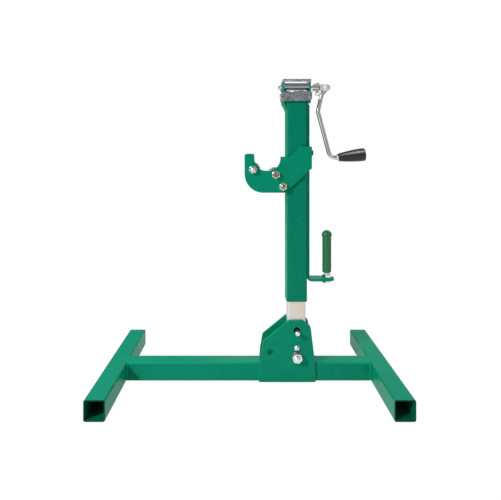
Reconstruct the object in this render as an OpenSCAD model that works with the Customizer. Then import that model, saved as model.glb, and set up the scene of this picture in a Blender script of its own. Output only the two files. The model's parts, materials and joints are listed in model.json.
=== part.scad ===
// Folding screw jack for one end of a cable drum spindle.
// An H-shaped base of square tube carries a mast that folds down on a pivot bolt.
// A crank turns a lift screw through bevel gears, and a sliding hook holds the spindle on two rollers.
// X runs to the right along the crossbar, Y to the back, Z up. The origin is on the floor
// under the middle of the base. Millimetres.

/* [Base] */
// Outside width of the square base tube
tube_w = 50.8; // [46:0.2:56]
// Wall of the base tube
tube_wall = 3.2; // [2:0.1:4.5]
// Outside corner radius of the base tube
tube_r = 5; // [4.6:0.1:7]
// Length of each foot, front to back
foot_len = 457.2; // [380:0.2:600]
// Length of the crossbar between the feet
crossbar_len = 668; // [600:1:800]
// Distance of the mast axis right of the middle of the base
mast_x = 131.5; // [90:0.5:170]

/* [Bracket] */
// Thickness of the two bracket plates
plate_t = 6.4; // [5:0.1:8]
// Height of the bracket plates
plate_h = 167; // [160:1:180]
// Reach of the plates left of the mast axis, at the floor
plate_left = 104.5; // [98:0.5:115]
// Reach of the plates right of the mast axis, at the floor
plate_right = 51; // [46:0.5:60]
// Height of the fold pivot above the floor
pivot_z = 69.5; // [68:0.5:74]
// Diameter of the pivot bolt
pivot_d = 16; // [12:0.5:18]
// Distance from the pivot to the lock hole
lock_r = 68.5; // [66:0.5:76]
// Diameter of the lock pin
lock_pin_d = 12.7; // [10:0.1:14]
// Length of the lock pin in front of the plate when it is drawn out
lock_pin_reach = 20; // [18:0.5:34]
// Distance from the pivot to the stow hole
stow_r = 74; // [70:0.5:78]
// Diameter of the stow hole
stow_d = 16; // [14:0.1:18]
// Angle of the mast when it is folded down
fold_angle = 75; // [70:1:76]

/* [Mast] */
// Wall of the inner mast tube
inner_wall = 4; // [3:0.1:5]
// Height of the inner tube's top end above the floor
inner_top = 600; // [580:1:610]
// Wall of the outer mast tube
outer_wall = 3; // [2.5:0.1:4]
// Length of the outer mast tube
outer_len = 547.5; // [530:0.5:570]
// Bare inner tube that shows between the bracket and the outer tube
mast_gap = 50.5; // [45:0.5:60]
// Play between mast tubes, and between the mast and the bracket plates, on each side
slide_play = 0.45; // [0.3:0.05:0.6]
// Diameter of the lift screw
screw_d = 22; // [18:0.5:24]
// Length of the lift screw below the mast's top end
screw_len = 468; // [440:1:480]
// Height of the lift nut
nut_h = 30; // [24:1:36]

/* [Carry bar] */
// Thickness of the flat bar on the right of the mast
bar_t = 7.5; // [6:0.1:9]
// Width of the flat bar
bar_w = 40; // [34:0.5:46]
// Length of the flat bar on the mast
bar_len = 486; // [470:1:495]
// Distance of the carry grip from the mast axis
grip_x = 86.5; // [80:0.5:100]
// Diameter of the carry grip
grip_d = 25; // [22:0.2:28]
// Length of the carry grip
grip_len = 119; // [100:1:140]
// Diameter of the stud in the carry grip
stud_d = 12; // [10:0.5:14]

/* [Hook] */
// Height of the spindle seat above the lower end of the outer tube
seat_z = 392.5; // [380:0.5:400]
// Distance of the spindle seat from the mast axis
seat_x = 80.5; // [78:0.5:86]
// Diameter of the spindle that the rollers carry
spindle_d = 60.3; // [56:0.1:63]
// Radius of the mouth in the hook plates
mouth_r = 35.5; // [34.5:0.1:37]
// Diameter of the spindle rollers
roller_d = 40; // [36:0.5:42]
// Thickness of the hook plates
hook_t = 6; // [5:0.1:8]
// Diameter of the hook bolts
hook_bolt_d = 12; // [10:0.5:13]

/* [Head] */
// Height of the crank shaft above the mast's top end
shaft_z = 40.5; // [40.2:0.1:45]
// Diameter of the crank shaft
shaft_d = 12; // [11:0.5:14]
// Distance between the two ears
ear_gap = 66.8; // [66:0.2:72]
// Thickness of the ears
ear_t = 5; // [4:0.1:7]
// Width of the ears, front to back
ear_w = 59; // [58:0.5:62]
// Thickness of the gear guard and the top frame
sheet_t = 2; // [1.5:0.1:2.5]
// Teeth of the pinion on the crank shaft
pinion_teeth = 14; // [14:1:15]
// Teeth of the crown gear on the lift screw
crown_teeth = 36; // [34:2:36]

/* [Crank] */
// Diameter of the crank rod
rod_d = 12; // [10:0.5:13]
// Drop of the crank rod below the crank shaft
crank_drop = 196; // [180:1:215]
// Length of the crank grip
crank_grip_len = 74.5; // [65:0.5:90]
// Diameter of the crank grip at its far end
crank_grip_d = 35; // [32:0.5:38]

/* [Hidden] */
$fn = 64;
green = [0.02, 0.45, 0.34];
grip_green = [0.19, 0.45, 0.29];
zinc = [0.72, 0.73, 0.74];
pale_zinc = [0.84, 0.82, 0.80];
dark_steel = [0.30, 0.31, 0.33];
black = [0.10, 0.10, 0.11];

// A little more than a cut's own depth, so that it leaves no skin
over = 1;
// Radial play of pins and shafts in their bores
run_play = 0.08;
// Gap kept between moving pieces that pass each other
pass_gap = 0.3;
// Straight pieces in each rounded corner
corner_steps = 8;

half_bar = tube_w / 2;
foot_x = crossbar_len / 2 + half_bar;
plate_out = half_bar + plate_t;
inner_w = tube_w - 2 * slide_play;
inner_r = 6;
outer_in = inner_w + 2 * slide_play;
outer_w = outer_in + 2 * outer_wall;
outer_half = outer_w / 2;
outer_r = 6;
outer_z = plate_h + mast_gap;
mast_top = outer_z + outer_len;

// Pivot bolt, nut and washers
pivot_nut_af = 1.5 * pivot_d;
pivot_nut_h = 0.8 * pivot_d;
pivot_washer_d = 1.8 * pivot_d;
pivot_washer_t = 2.5;
pivot_proud = 4;
pivot_bush_d = pivot_d + 8;
keeper_d = 16.5;
keeper_h = 5;
keeper_z = pivot_z + pivot_washer_d / 2 + keeper_d / 2 + 0.3;

// The lower end of the inner tube clears the crossbar by this much as the mast folds
foot_play = 0.7;
tail_r = pivot_z - tube_w - foot_play;

// Lock pin
lock_z = pivot_z + lock_r;
lock_travel = 14;
lock_hole_d = lock_pin_d + 2 * pass_gap;
lock_window_d = 1.5 * lock_pin_d;
lock_window_z = lock_z + (lock_window_d - lock_hole_d) / 2;
stow_lead = 6;
stow_angle = 90 + fold_angle + stow_lead;

// Flat bar and carry grip
bar_x = outer_half + bar_t;
bar_top = mast_top - 8;
bar_low = bar_top - bar_len;
bend_r = 6;
arm_z = bar_low + bar_t;
stud_nut_af = 2 * stud_d;
stud_nut_h = 0.75 * stud_d;
jam_nut_h = 0.55 * stud_d;
stud_neck = 3.5;
stud_end = 1;
grip_z = arm_z + stud_nut_h + stud_neck;
grip_head_d = grip_d + 3.4;
grip_head_h = 20;

// Hook
hook_z = outer_z + seat_z;
hook_in = outer_half + 0.5;
hook_out = hook_in + hook_t;
roller_reach = (spindle_d + roller_d) / 2;
roller_angle = [218, 297];
roller_x = [for (a = roller_angle) -seat_x + roller_reach * cos(a)];
roller_z = [for (a = roller_angle) hook_z + roller_reach * sin(a)];
roller_len = 2 * hook_in - 1;
hook_arm_w = 26.5;
hook_reach = seat_x + mouth_r + hook_arm_w;
hook_arm_rise = 12;
hook_drop = 94;
hook_rise = 31.6;
hook_heel_r = 50;
hook_tip_rise = 4;
hook_back = bar_x + 4.5;
rear_mouth_shift = 5.5;
hook_nut_af = 1.6 * hook_bolt_d;
hook_nut_h = 0.85 * hook_bolt_d;
hook_bolt_proud = 2.5;
spacer_d = 19.5;
spacer_x = -outer_half - pass_gap - spacer_d / 2;
spacer_z = hook_z - 77;
cross_t = 9;
cross_h = 19;
cross_x = bar_x + pass_gap;
cross_z = hook_z + 14.5;

// Head
ear_in = ear_gap / 2;
ear_out = ear_in + ear_t;
axis_z = mast_top + shaft_z;
bearing_plate_t = 6;
bearing_plate_w = 2 * ear_in;
bearing_h = 6;
bearing_z = mast_top + bearing_plate_t;
journal_d = screw_d - 4;
bearing_d = screw_d + 18;
crown_z = bearing_z + bearing_h;
head_top = axis_z + 12;
frame_h = 7.8;
tie_d = 16;
tie_y = -ear_w / 2 + tie_d / 2 - 0.3;
tie_z = axis_z + 1.1;
ear_hole_d = shaft_d + 5;
bush_flange_d = shaft_d + 9;
bush_flange_t = 1.5;
guard_play = 0.2;
guard_out = ear_out + guard_play + sheet_t;
guard_back = ear_w / 2 + 6.5;
guard_low = mast_top + 0.5;
guard_top = mast_top + 25.5;
guard_chamfer = 6;
guard_screw_z = mast_top + 18;
guard_screw_d = 6;

// Bevel gears. Both pitch cones meet where the shaft axis crosses the screw axis.
crown_r = 31.5;
crown_inner_r = 25;
cone_angle = atan(pinion_teeth / crown_teeth);
cone_out = crown_r / cos(cone_angle);
cone_in = crown_inner_r / cos(cone_angle);
tooth_pitch = 2 * PI * crown_r / crown_teeth;
tooth_gap = tooth_pitch * 0.56;
tooth_rise = 0.85;
tooth_depth = 1.75;
flank = tan(22);
crown_hub_r = screw_d / 2 + 7;
crown_web_t = 6;

// Crank
hub_x = ear_out + 9.5;
hub_len = 22;
hub_wall = 3.2;
hub_out = shaft_d / 2 + hub_wall;
hub_lap = 4;
knuckle_x = hub_x + 38;
cheek_t = 4.5;
eye_t = 9;
knuckle_d = 8;
knuckle_head_d = 17.5;
hub_pin_d = 6;
hub_pin_x = hub_x + 12;
shaft_left = ear_out + 10;
cotter_in = 4;
cotter_d = 3;
hub_end_play = 5;
rod_bend_r = 20;
bend_swell = 0.1;
bend_lap = 1;
grip_tilt = 6.6;
grip_spindle_d = 9;
rod_points = [
    [knuckle_x, axis_z - 2],
    [knuckle_x - 14, axis_z - 20],
    [knuckle_x - 24, axis_z - 65],
    [knuckle_x + 10.5, axis_z - crank_drop],
    [knuckle_x + 33, axis_z - crank_drop + 22.5 * tan(grip_tilt)]
];

// Unit vector along v
function unit(v) = v / norm(v);

// Corner at p between the points before and after it, replaced by an arc of radius r
function corner(before, p, after, r) =
    r == 0 ? [p] :
    let (
        u = unit(before - p),
        w = unit(after - p),
        half = acos(u * w) / 2,
        centre = p + unit(u + w) * r / sin(half),
        start = p + u * r / tan(half) - centre,
        first = atan2(start.y, start.x),
        turn = sign(cross(p - before, after - p)) * (180 - 2 * half)
    )
    [for (i = [0 : corner_steps])
        let (a = first + turn * i / corner_steps) centre + r * [cos(a), sin(a)]];

// Closed outline from corners given as [x, y, radius]
function rounded(path) = [
    for (i = [0 : len(path) - 1])
        let (
            n = len(path),
            before = path[(i + n - 1) % n],
            at = path[i],
            after = path[(i + 1) % n]
        )
        each corner([before.x, before.y], [at.x, at.y], [after.x, after.y], at[2])
];

// Points of an arc about a centre
function arc(centre, r, from, to) = [
    for (i = [0 : corner_steps])
        let (a = from + (to - from) * i / corner_steps) centre + r * [cos(a), sin(a)]
];

module rounded_square(w, r) {
    h = w / 2;
    polygon(rounded([[-h, -h, r], [h, -h, r], [h, h, r], [-h, h, r]]));
}

// Square tube along Z
module square_tube(w, wall, r, length) {
    linear_extrude(length) difference() {
        rounded_square(w, r);
        rounded_square(w - 2 * wall, max(r - wall, 0.5));
    }
}

// Outline in X and Z, made solid from y0 to y1
module slab(y0, y1) {
    translate([0, y1, 0]) rotate([90, 0, 0]) linear_extrude(y1 - y0) children();
}

// Round bar along Y
module y_bar(x, z, y0, y1, d) {
    translate([x, y0, z]) rotate([-90, 0, 0]) cylinder(h = y1 - y0, d = d);
}

// Hollow round bar along Y
module y_tube(x, z, y0, y1, d, bore) {
    difference() {
        y_bar(x, z, y0, y1, d);
        y_bar(x, z, y0 - over, y1 + over, bore);
    }
}

// Solid hexagon along Z with chamfered corners
module hexagon(af, h) {
    corner_r = af / 2 / cos(30);
    edge = (corner_r - af / 2) * 0.6;
    intersection() {
        cylinder(h = h, r = corner_r, $fn = 6);
        rotate_extrude() polygon([
            [0, 0], [af / 2, 0], [corner_r, edge], [corner_r, h - edge], [af / 2, h], [0, h]
        ]);
    }
}

// Hexagon nut along Z
module hex_nut(af, h, bore) {
    difference() {
        hexagon(af, h);
        translate([0, 0, -over]) cylinder(h = h + 2 * over, d = bore);
    }
}

// Round-ended pin along Z from its base
module ended_pin(d, length, edge) {
    rotate_extrude() polygon([
        [0, 0], [d / 2, 0], [d / 2, length - edge], [d / 2 - edge, length], [0, length]
    ]);
}

// Places a child on the mast axis
module on_mast() {
    translate([mast_x, 0, 0]) children();
}

// Foot tube along Y with open ends
module foot(x) {
    color(green) translate([x, foot_len / 2, half_bar]) rotate([90, 0, 0])
        square_tube(tube_w, tube_wall, tube_r, foot_len);
}

module left_foot() { foot(-foot_x); }

module right_foot() { foot(foot_x); }

module crossbar() {
    color(green) translate([-crossbar_len / 2, 0, half_bar]) rotate([90, 0, 90])
        square_tube(tube_w, tube_wall, tube_r, crossbar_len);
}

// Outline of a bracket plate about the mast axis, with its three holes
module plate_outline() {
    waist_z = pivot_z + 2;
    shoulder_z = plate_h - 55;
    top_left = -24;
    top_right = plate_right - 33;
    difference() {
        polygon(rounded([
            [-plate_left, 0, 3], [plate_right, 0, 3], [plate_right - 4, waist_z, 40],
            [plate_right - 14, plate_h - 14, 16], [top_right, plate_h, 14],
            [top_left, plate_h, 5], [13 - plate_left, shoulder_z, 6], [6 - plate_left, waist_z, 40]
        ]));
        translate([0, pivot_z]) circle(d = pivot_d + 2 * run_play);
        translate([0, lock_window_z]) circle(d = lock_window_d);
        translate([stow_r * cos(stow_angle), pivot_z + stow_r * sin(stow_angle)])
            circle(d = stow_d);
    }
}

module front_plate() { color(green) on_mast() slab(-plate_out, -half_bar) plate_outline(); }

module rear_plate() { color(green) on_mast() slab(half_bar, plate_out) plate_outline(); }

// Bolt with its head behind the rear plate
module pivot_bolt() {
    stack = plate_out + pivot_washer_t;
    reach = stack + pivot_nut_h + pivot_proud;
    color(zinc) on_mast() translate([0, stack, pivot_z]) rotate([90, 0, 0]) {
        ended_pin(pivot_d, stack + reach, 1.5);
        mirror([0, 0, 1]) hexagon(pivot_nut_af, 0.65 * pivot_d);
    }
}

module pivot_nut() {
    color(zinc) on_mast() translate([0, -plate_out - pivot_washer_t, pivot_z]) rotate([90, 12, 0])
        hex_nut(pivot_nut_af, pivot_nut_h, pivot_d);
}

// One washer under the nut and one under the bolt head
module pivot_washers() {
    color(zinc) on_mast() {
        y_tube(0, pivot_z, -plate_out - pivot_washer_t, -plate_out, pivot_washer_d, pivot_d);
        y_tube(0, pivot_z, plate_out, plate_out + pivot_washer_t, pivot_washer_d, pivot_d);
    }
}

// Dome-headed stud on the front plate, just above the pivot washer
module keeper_stud() {
    dome_r = (keeper_d * keeper_d / 4 + keeper_h * keeper_h) / (2 * keeper_h);
    color(zinc) on_mast() translate([0, -plate_out, keeper_z]) rotate([90, 0, 0]) intersection() {
        translate([0, 0, keeper_h - dome_r]) sphere(r = dome_r);
        cylinder(h = keeper_h, d = keeper_d);
    }
}

// Lock pin, drawn out until its tip is clear of the mast
module lock_pin() {
    tip = half_bar + pass_gap;
    color(zinc) on_mast() translate([0, -tip, lock_z]) rotate([90, 0, 0])
        ended_pin(lock_pin_d, plate_out - tip + lock_pin_reach, 1.8);
}

// Lower end of the inner tube, seen from the front and about the pivot. The arc and the
// slanted relief clear the crossbar at every angle of the fold.
module tail_outline(half) {
    relief = 180 + 90 - fold_angle;
    slope = (tail_r + half * cos(relief)) / sin(relief);
    polygon(concat(
        [[half + over, -tail_r], [half + over, inner_top], [-half - over, inner_top]],
        [[-half - over, slope + over * cos(relief) / sin(relief)]],
        arc([0, 0], tail_r, relief, 270)
    ));
}

module inner_tube() {
    half = inner_w / 2;
    low = pivot_z - tail_r;
    color(pale_zinc) on_mast() difference() {
        intersection() {
            translate([0, 0, low])
                square_tube(inner_w, inner_wall, inner_r, inner_top - low);
            translate([0, 0, pivot_z]) slab(-half - over, half + over) tail_outline(half);
        }
        y_bar(0, pivot_z, -half - over, half + over, pivot_bush_d);
        y_bar(0, lock_z, -half - over, half + over, lock_hole_d);
    }
}

// Cross sleeve through both walls of the inner tube
module pivot_bush() {
    half = inner_w / 2;
    color(zinc) on_mast()
        y_tube(0, pivot_z, -half, half, pivot_bush_d, pivot_d + 2 * run_play);
}

// Square nut in the top of the inner tube
module lift_nut() {
    w = inner_w - 2 * inner_wall;
    color(dark_steel) on_mast() translate([0, 0, inner_top - nut_h]) linear_extrude(nut_h)
        difference() {
            rounded_square(w, max(inner_r - inner_wall, 0.5));
            circle(d = screw_d + 2 * run_play);
        }
}

module outer_tube() {
    color(green) on_mast() translate([0, 0, outer_z])
        square_tube(outer_w, outer_wall, outer_r, outer_len);
}

// Flat bar down the right of the mast, bent out at its lower end into the arm of the carry grip
module carry_bar() {
    bend_x = bar_x + bend_r;
    bend_z = arm_z + bend_r;
    color(green) on_mast() {
        translate([outer_half, -bar_w / 2, bend_z]) cube([bar_t, bar_w, bar_top - bend_z]);
        translate([bend_x, bar_w / 2, bend_z]) rotate([90, 180, 0]) intersection() {
            difference() {
                cylinder(h = bar_w, r = bend_r + bar_t);
                translate([0, 0, -over]) cylinder(h = bar_w + 2 * over, r = bend_r);
            }
            cube([bend_r + bar_t, bend_r + bar_t, bar_w]);
        }
        translate([0, 0, bar_low]) linear_extrude(bar_t) difference() {
            union() {
                translate([bend_x, -bar_w / 2]) square([grip_x - bend_x, bar_w]);
                translate([grip_x, 0]) circle(d = bar_w);
            }
            translate([grip_x, 0]) circle(d = stud_d);
        }
    }
}

// Threaded stud of the carry grip
module carry_stud() {
    low = bar_low - jam_nut_h - stud_end;
    color(zinc) on_mast() translate([grip_x, 0, low])
        ended_pin(stud_d, grip_z + grip_len - grip_d / 2 - low, 1);
}

// Nut above the arm and a thinner one below it
module carry_nuts() {
    color(zinc) on_mast() translate([grip_x, 0, 0]) rotate([0, 0, 8]) {
        translate([0, 0, arm_z]) hex_nut(stud_nut_af, stud_nut_h, stud_d);
        translate([0, 0, bar_low - jam_nut_h]) hex_nut(stud_nut_af, jam_nut_h, stud_d);
    }
}

// Moulded grip screwed on the stud, with a domed head and a rounded lower end
module carry_grip() {
    r = grip_d / 2;
    head_r = grip_head_d / 2;
    foot_r = 5.5;
    bore_r = stud_d / 2;
    neck = grip_len - grip_head_h;
    top = grip_len - grip_d / 2 + pass_gap;
    dome = grip_len - head_r;
    profile = concat(
        [[bore_r, 0]],
        arc([r - foot_r, foot_r], foot_r, 270, 360),
        [[r, neck - 3], [r - 0.6, neck - 1.5]],
        [[head_r - 0.5, neck + 3]],
        arc([0, dome], head_r, 0, 90),
        [[0, top], [bore_r, top]]
    );
    color(grip_green) on_mast() translate([grip_x, 0, grip_z]) rotate_extrude() polygon(profile);
}

// Plate across the top of the mast that carries the lift screw
module bearing_plate() {
    color(green) on_mast() translate([0, 0, mast_top]) linear_extrude(bearing_plate_t)
        difference() {
            square([bearing_plate_w, ear_w], center = true);
            circle(d = journal_d + 2 * run_play);
        }
}

// Side plate of the head with the shaft hole, and a leg bent in to the side of the mast
module ear(leg) {
    leg_z = mast_top - leg;
    heel_z = mast_top - 3;
    difference() {
        slab(-ear_w / 2, ear_w / 2) polygon([
            [ear_in, head_top], [ear_in, mast_top], [outer_half, leg_z],
            [outer_half, leg_z - ear_t], [ear_out, heel_z], [ear_out, head_top]
        ]);
        translate([ear_in - over, 0, axis_z]) rotate([0, 90, 0])
            cylinder(h = ear_t + 2 * over, d = ear_hole_d);
    }
}

module left_ear() { color(green) on_mast() mirror([1, 0, 0]) ear(15); }

module right_ear() { color(green) on_mast() ear(1); }

// Sheet band round the gears, open at the top, with its lower corners cut off
module gear_guard() {
    module band(inset) {
        half = guard_out - inset;
        top = guard_top + (inset > 0 ? over : 0);
        polygon([
            [-half, top], [-half, guard_low + guard_chamfer], [-half + guard_chamfer, guard_low],
            [half - guard_chamfer, guard_low], [half, guard_low + guard_chamfer], [half, top]
        ]);
    }
    color(zinc) on_mast() difference() {
        slab(-guard_back, guard_back) band(0);
        slab(-guard_back + sheet_t, guard_back - sheet_t) band(sheet_t);
        translate([-ear_out - guard_play, -ear_w / 2 - guard_play, guard_low - over])
            cube([2 * (ear_out + guard_play), ear_w + 2 * guard_play, guard_top]);
        for (side = [-1, 1]) translate([side * guard_out, 0, guard_screw_z]) rotate([0, 90, 0])
            cylinder(h = 4 * sheet_t, d = guard_screw_d, center = true);
    }
}

// One screw through the guard into each ear
module guard_screws() {
    head_h = 4;
    color(zinc) on_mast() for (side = [0, 1]) mirror([side, 0, 0])
        translate([ear_out, 0, guard_screw_z]) rotate([0, 90, 0]) {
            cylinder(h = guard_play + sheet_t, d = guard_screw_d);
            translate([0, 0, guard_play + sheet_t]) hexagon(10, head_h);
        }
}

// Rectangular frame of sheet on top of the ears, open above and below
module top_frame() {
    color(zinc) on_mast() translate([0, 0, head_top]) linear_extrude(frame_h) difference() {
        square([2 * ear_out, 2 * guard_back], center = true);
        square([2 * ear_in, 2 * (guard_back - sheet_t)], center = true);
    }
}

// Round bar that ties the ears together in front of the gears
module head_tie() {
    color(zinc) on_mast() translate([-ear_in, tie_y, tie_z]) rotate([0, 90, 0])
        cylinder(h = 2 * ear_in, d = tie_d);
}

// Flanged bush in each ear
module shaft_bushes() {
    color(dark_steel) on_mast() for (side = [0, 1]) mirror([side, 0, 0])
        translate([ear_in, 0, axis_z]) rotate([0, 90, 0]) difference() {
            union() {
                cylinder(h = ear_t, d = ear_hole_d);
                translate([0, 0, ear_t]) cylinder(h = bush_flange_t, d = bush_flange_d);
            }
            translate([0, 0, -over])
                cylinder(h = ear_t + bush_flange_t + 2 * over, d = shaft_d + 2 * run_play);
        }
}

// Thrust bearing between the bearing plate and the crown gear
module thrust_bearing() {
    race = 0.3 * bearing_h;
    color(dark_steel) on_mast() translate([0, 0, bearing_z]) rotate_extrude() polygon([
        [journal_d / 2 + run_play, 0], [bearing_d / 2, 0], [bearing_d / 2, race],
        [bearing_d / 2 - 2, race], [bearing_d / 2 - 2, bearing_h - race],
        [bearing_d / 2, bearing_h - race], [bearing_d / 2, bearing_h - pass_gap / 3],
        [journal_d / 2 + run_play, bearing_h - pass_gap / 3]
    ]);
}

// Lift screw with its journal through the bearing plate
module lift_screw() {
    shoulder = mast_top - 2;
    top = crown_z + 12;
    low = mast_top - screw_len;
    color(dark_steel) on_mast() {
        translate([0, 0, low]) cylinder(h = shoulder - low, d = screw_d);
        translate([0, 0, shoulder]) cylinder(h = top - shoulder, d = journal_d);
    }
}

// Gap between two teeth, along a pitch cone's side, deeper towards +X
module tooth_space() {
    outer_half_gap = tooth_gap / 2 + flank * (tooth_rise + over);
    root_half_gap = tooth_gap / 2 - flank * tooth_depth;
    translate([0, 0, cone_in - 4]) linear_extrude(cone_out - cone_in + 8) polygon([
        [-tooth_rise - over, -outer_half_gap], [tooth_depth, -root_half_gap],
        [tooth_depth, root_half_gap], [-tooth_rise - over, outer_half_gap]
    ]);
}

// Crown gear on the lift screw, its teeth on top
module crown_gear() {
    slope = tan(cone_angle);
    base = crown_z - axis_z;
    rim_z = -crown_r * slope - tooth_depth - 3;
    face = [crown_r, -crown_r * slope + tooth_rise];
    throat = [crown_inner_r, -crown_inner_r * slope + tooth_rise];
    color(zinc) on_mast() translate([0, 0, axis_z]) difference() {
        rotate_extrude() polygon([
            [journal_d / 2, base], [crown_hub_r, base], [crown_hub_r, rim_z - crown_web_t / 2],
            [crown_r, rim_z], face, throat, [crown_inner_r, rim_z + crown_web_t / 2],
            [journal_d / 2, rim_z + crown_web_t / 2]
        ]);
        for (i = [0 : crown_teeth - 1]) rotate([0, 0, i * 360 / crown_teeth])
            rotate([0, 90 + cone_angle, 0]) tooth_space();
    }
}

// Crank shaft through both ears
module crank_shaft() {
    color(dark_steel) on_mast() translate([-shaft_left, 0, axis_z]) rotate([0, 90, 0]) difference() {
        ended_pin(shaft_d, shaft_left + hub_x + hub_len - hub_end_play, 1);
        translate([0, 0, shaft_left + hub_pin_x]) rotate([0, 90, 0])
            cylinder(h = shaft_d + 2 * over, d = hub_pin_d, center = true);
        translate([0, 0, cotter_in]) rotate([0, 90, 0])
            cylinder(h = shaft_d + 2 * over, d = cotter_d, center = true);
    }
}

// Bevel pinion on the crank shaft, beside the left ear
module bevel_pinion() {
    slope = tan(cone_angle);
    back = min(crown_r + 1.2, ear_in - pass_gap);
    color(zinc) on_mast() translate([0, 0, axis_z]) difference() {
        rotate([0, -90, 0]) rotate_extrude() polygon([
            [shaft_d / 2, crown_inner_r], [crown_inner_r * slope + tooth_rise, crown_inner_r],
            [crown_r * slope + tooth_rise, crown_r], [crown_r * slope, back], [shaft_d / 2, back]
        ]);
        for (i = [0 : pinion_teeth - 1]) rotate([(i + 0.5) * 360 / pinion_teeth, 0, 0])
            rotate([0, -90 - cone_angle, 0]) tooth_space();
    }
}

// Split pin through the left end of the shaft, with its washer
module shaft_cotter() {
    x = -shaft_left + cotter_in;
    washer_t = 2;
    washer_x = -ear_out - bush_flange_t - washer_t - pass_gap;
    color(zinc) on_mast() {
        translate([x, 0, axis_z - shaft_d / 2 - 6]) cylinder(h = shaft_d + 9, d = cotter_d);
        translate([washer_x, 0, axis_z]) rotate([0, 90, 0]) difference() {
            cylinder(h = washer_t, d = shaft_d + 7);
            translate([0, 0, -over]) cylinder(h = washer_t + 2 * over, d = shaft_d);
        }
    }
}

// Yoke on the shaft end: two straps above and below the shaft, and two cheeks round the eye
// of the crank rod. The lower strap is shorter, so that the rod hangs clear of it.
module crank_hub() {
    cheek_in = eye_t / 2 + pass_gap;
    cheek_out = cheek_in + cheek_t;
    cheek_r = knuckle_head_d / 2;
    cheek_x = hub_x + hub_len - hub_lap;
    upper_len = knuckle_x - hub_x - rod_d / 2 - pass_gap;
    color(zinc) on_mast() translate([0, 0, axis_z]) difference() {
        union() {
            translate([hub_x, -cheek_out, shaft_d / 2]) cube([upper_len, 2 * cheek_out, hub_wall]);
            translate([hub_x, -cheek_out, -hub_out]) cube([hub_len, 2 * cheek_out, hub_wall]);
            for (side = [-1, 1]) translate([0, side * (cheek_in + cheek_t / 2), 0])
                slab(-cheek_t / 2, cheek_t / 2) union() {
                    translate([cheek_x, -cheek_r]) square([knuckle_x - cheek_x, 2 * cheek_r]);
                    translate([knuckle_x, 0]) circle(r = cheek_r);
                }
        }
        translate([hub_pin_x, 0, 0]) cylinder(h = 3 * hub_out, d = hub_pin_d, center = true);
        y_bar(knuckle_x, 0, -cheek_out - over, cheek_out + over, knuckle_d + 2 * run_play);
    }
}

// Pull pin down through the hub and the shaft, with a ring at its lower end
module hub_pin() {
    ring_r = 5;
    wire = 2;
    low = axis_z - hub_out - 4;
    top = axis_z + hub_out + 2;
    color(zinc) on_mast() translate([hub_pin_x, 0, 0]) {
        translate([0, 0, low]) cylinder(h = top - low, d = hub_pin_d);
        translate([0, 0, top]) cylinder(h = 2.5, d = hub_pin_d + 5);
        translate([0, 0, low - ring_r + wire]) rotate([90, 0, 0]) rotate_extrude()
            translate([ring_r, 0]) circle(d = wire);
    }
}

// Headed pin through the knuckle
module knuckle_pin() {
    reach = eye_t / 2 + pass_gap + cheek_t + run_play;
    color(zinc) on_mast() {
        y_bar(knuckle_x, axis_z, -reach, reach + 1.5, knuckle_d);
        y_bar(knuckle_x, axis_z, -reach - 3, -reach, knuckle_head_d);
        y_bar(knuckle_x, axis_z, reach, reach + 2.5, knuckle_d + 4);
    }
}

// Round rod through points in the plane of X and Z, with a true bend at each inner point.
// The bends are a hair thicker, and the straight stretches lap into them.
module bent_rod(points, d, r) {
    last = len(points) - 1;
    function off(i) =
        i == 0 || i == last ? 0 :
        let (u = unit(points[i] - points[i - 1]), w = unit(points[i + 1] - points[i]))
        r * tan(acos(u * w) / 2);
    for (i = [0 : last - 1]) {
        way = points[i + 1] - points[i];
        start_lap = i == 0 ? 0 : bend_lap;
        end_lap = i == last - 1 ? 0 : bend_lap;
        from = points[i] + unit(way) * (off(i) - start_lap);
        translate([from.x, 0, from.y]) rotate([0, atan2(way.x, way.y), 0])
            cylinder(h = norm(way) - off(i) - off(i + 1) + start_lap + end_lap, d = d);
    }
    for (i = [1 : last - 1]) {
        u = unit(points[i] - points[i - 1]);
        w = unit(points[i + 1] - points[i]);
        side = sign(cross(u, w));
        start = points[i] - u * off(i);
        centre = start + side * r * [-u.y, u.x];
        from = atan2(start.y - centre.y, start.x - centre.x);
        sweep = side * acos(u * w);
        translate([centre.x, 0, centre.y]) rotate([90, 0, 0]) rotate([0, 0, min(from, from + sweep)])
            rotate_extrude(angle = abs(sweep)) translate([r, 0]) circle(d = d + bend_swell);
    }
}

// Crank rod with an eye at the knuckle and a thinner spindle inside the grip
module crank_rod() {
    tip = rod_points[len(rod_points) - 1];
    color(zinc) on_mast() {
        difference() {
            union() {
                bent_rod(rod_points, rod_d, rod_bend_r);
                y_bar(knuckle_x, axis_z, -eye_t / 2, eye_t / 2, knuckle_head_d - 1);
            }
            y_bar(knuckle_x, axis_z, -rod_d, rod_d, knuckle_d);
            for (side = [-1, 1])
                translate([knuckle_x, side * (eye_t / 2 + rod_d), axis_z + rod_d])
                    cube([4 * rod_d, 2 * rod_d, 2 * (rod_d + hub_out)], center = true);
        }
        translate([tip.x, 0, tip.y]) rotate([0, 90 - grip_tilt, 0]) translate([0, 0, -bend_lap])
            cylinder(h = crank_grip_len - 8 + bend_lap, d = grip_spindle_d);
    }
}

// Tapered grip that turns on the end of the crank rod
module crank_grip() {
    tip = rod_points[len(rod_points) - 1];
    near_r = 10.5;
    far_r = crank_grip_d / 2;
    bore_r = grip_spindle_d / 2 + run_play;
    edge = 5;
    profile = concat(
        [[bore_r, 0], [near_r - 1.5, 0], [near_r, 1.5]],
        [[near_r + 0.62 * (far_r - near_r), crank_grip_len * 0.5]],
        [[far_r - 0.4, crank_grip_len * 0.8]],
        arc([far_r - edge, crank_grip_len - edge], edge, 0, 90),
        [[0, crank_grip_len], [0, crank_grip_len - 7], [bore_r, crank_grip_len - 7]]
    );
    color(black) on_mast() translate([tip.x, 0, tip.y]) rotate([0, 90 - grip_tilt, 0])
        translate([0, 0, pass_gap]) rotate_extrude() polygon(profile);
}

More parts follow.
